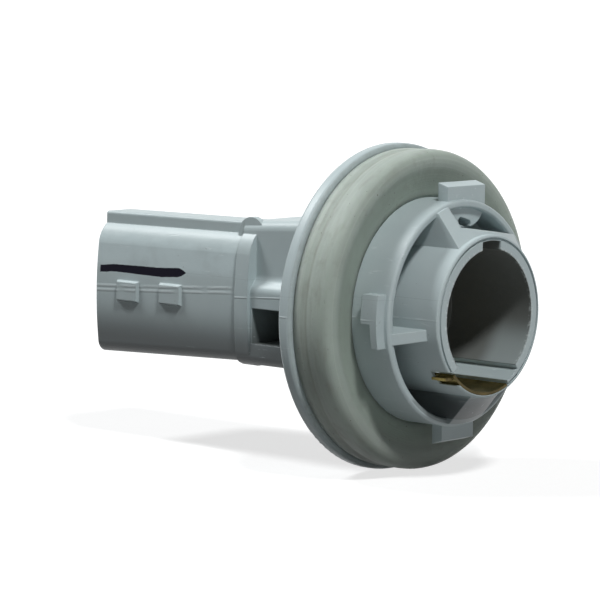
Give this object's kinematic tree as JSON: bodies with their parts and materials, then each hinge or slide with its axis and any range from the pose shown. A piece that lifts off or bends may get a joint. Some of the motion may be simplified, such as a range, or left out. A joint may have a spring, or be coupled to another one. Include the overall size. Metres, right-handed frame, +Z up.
{
  "type": "bayonet lamp holder",
  "caption": "Straight bayonet lamp holder: flange with silicone gasket, lugged barrel, bulb tube with brass earth contact and sprung centre contact, and a connector shroud behind.",
  "frame": {"origin": "on the bulb axis at the foot of the barrel, just under the gasket's inner face", "axes": "+X along the bulb axis and out of the bulb tube's mouth, +Z up, the side of the connector's rail"},
  "size_m": [0.0549, 0.038, 0.038],
  "materials": {
    "housing_plastic": "satin moulded",
    "gasket_silicone": "matte translucent",
    "contact_brass": "dulled",
    "carrier_plastic": "matte",
    "spring_steel": "drawn wire"
  },
  "bodies": {
    "socket": {"socket_housing": "housing_plastic", "gasket": "gasket_silicone", "earth_contact": "contact_brass", "centre_terminal": "contact_brass", "contact_spring": "spring_steel"},
    "carrier": {"contact_carrier": "carrier_plastic", "contact_stud": "contact_brass"}
  },
  "joints": [
    {"name": "carrier_slide", "type": "slide", "parent": "socket", "child": "carrier", "axis": [-1, 0, 0], "range_m": [0, 0.003], "stiffness_N_per_m": 2500, "springref_m": -0.003, "deforming": ["contact_spring"]}
  ]
}
